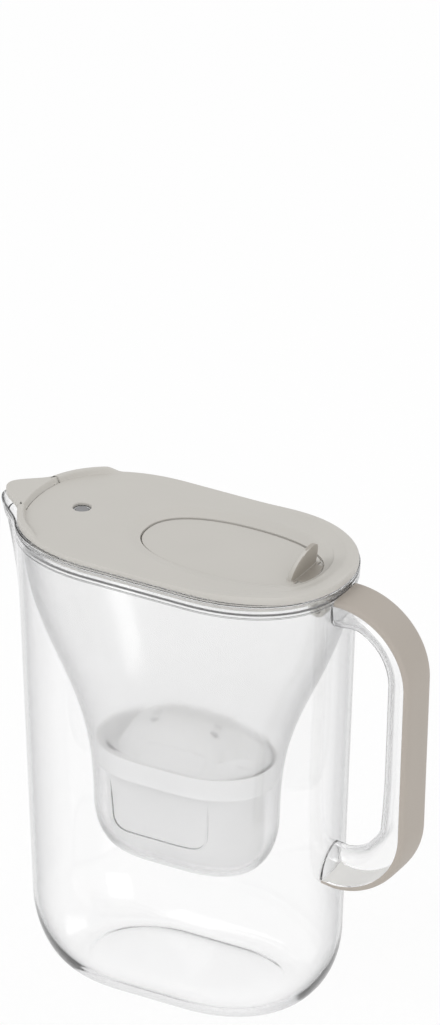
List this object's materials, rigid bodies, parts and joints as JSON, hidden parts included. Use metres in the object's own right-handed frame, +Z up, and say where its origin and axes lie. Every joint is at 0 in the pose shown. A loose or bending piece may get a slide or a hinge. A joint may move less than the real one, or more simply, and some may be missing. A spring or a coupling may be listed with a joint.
{
  "type": "water filter pitcher with flip lid",
  "caption": "Clear oval water filter pitcher: half-round grip handle, hanging funnel with filter cartridge, grey lid with thumb-fin flip flap, spout flap and battery change indicator.",
  "frame": {"origin": "middle of the jug's foot, on the table", "axes": "+X points to the handle, the spout is at -X; +Y is across the jug; +Z is up"},
  "size_m": [0.2495, 0.109, 0.2752],
  "materials": {
    "clear_jug": "polished",
    "clear_handle": "polished",
    "taupe_grip": "satin",
    "frosted_funnel": "satin",
    "white_cartridge": "satin",
    "white_cap": "satin",
    "granules": "rough",
    "mesh": "woven",
    "mesh_low": "woven",
    "lid_cover": "satin",
    "lid_frame": "satin",
    "lid_flap": "satin",
    "spout_flap": "satin",
    "white_housing": "satin",
    "white_base": "satin",
    "seal": "matt",
    "button": "satin",
    "board": "matt",
    "switch": "matt",
    "leds": "clear",
    "light_guide": "frosted",
    "coin_cell": "brushed",
    "cell_clip": "plain"
  },
  "bodies": {
    "jug": {"jug_body": "clear_jug", "handle_frame": "clear_handle", "handle_grip": "taupe_grip"},
    "funnel": {"funnel": "frosted_funnel"},
    "cartridge": {"cartridge_cup": "white_cartridge", "cartridge_cap": "white_cap", "cartridge_granules": "granules", "cartridge_top_mesh": "mesh", "cartridge_bottom_mesh": "mesh_low"},
    "lid": {"lid_cover": "lid_cover", "lid_frame": "lid_frame"},
    "flip_flap": {"flip_flap": "lid_flap"},
    "spout_flap": {"spout_flap": "spout_flap"},
    "indicator": {"indicator_housing": "white_housing", "indicator_base": "white_base", "indicator_seal": "seal", "indicator_board": "board", "indicator_switch": "switch", "indicator_leds": "leds", "indicator_light_guide": "light_guide", "indicator_coin_cell": "coin_cell", "indicator_cell_clip": "cell_clip"},
    "button": {"indicator_button": "button"}
  },
  "joints": [
    {"name": "funnel_lift", "type": "slide", "parent": "jug", "child": "funnel", "axis": [0, 0, 1], "range_m": [0, 0.1147]},
    {"name": "lid_lift", "type": "slide", "parent": "funnel", "child": "lid", "axis": [0, 0, 1], "range_m": [0, 0.155]},
    {"name": "cartridge_lift", "type": "slide", "parent": "funnel", "child": "cartridge", "axis": [0, 0, 1], "range_m": [0, 0.1836]},
    {"name": "indicator_release", "type": "slide", "parent": "lid", "child": "indicator", "axis": [0, 0, 1], "range_m": [-0.0539, 0]},
    {"name": "button_press", "type": "slide", "parent": "indicator", "child": "button", "axis": [0, 0, 1], "range_m": [-0.0005, 0], "stiffness_N_per_m": 400},
    {"name": "flip_open", "type": "hinge", "parent": "lid", "child": "flip_flap", "pos_m": [0.0752, 0, 0.2574], "axis": [0, -1, 0], "range_deg": [-50, 0]},
    {"name": "pour_open", "type": "hinge", "parent": "lid", "child": "spout_flap", "pos_m": [-0.088, 0, 0.2609], "axis": [0, -1, 0], "range_deg": [-50, 0]}
  ],
  "couplings": [
    {"joint": "cartridge_lift", "follows": "lid_lift", "ratio": 1.1845},
    {"joint": "indicator_release", "follows": "lid_lift", "ratio": -0.34774}
  ]
}
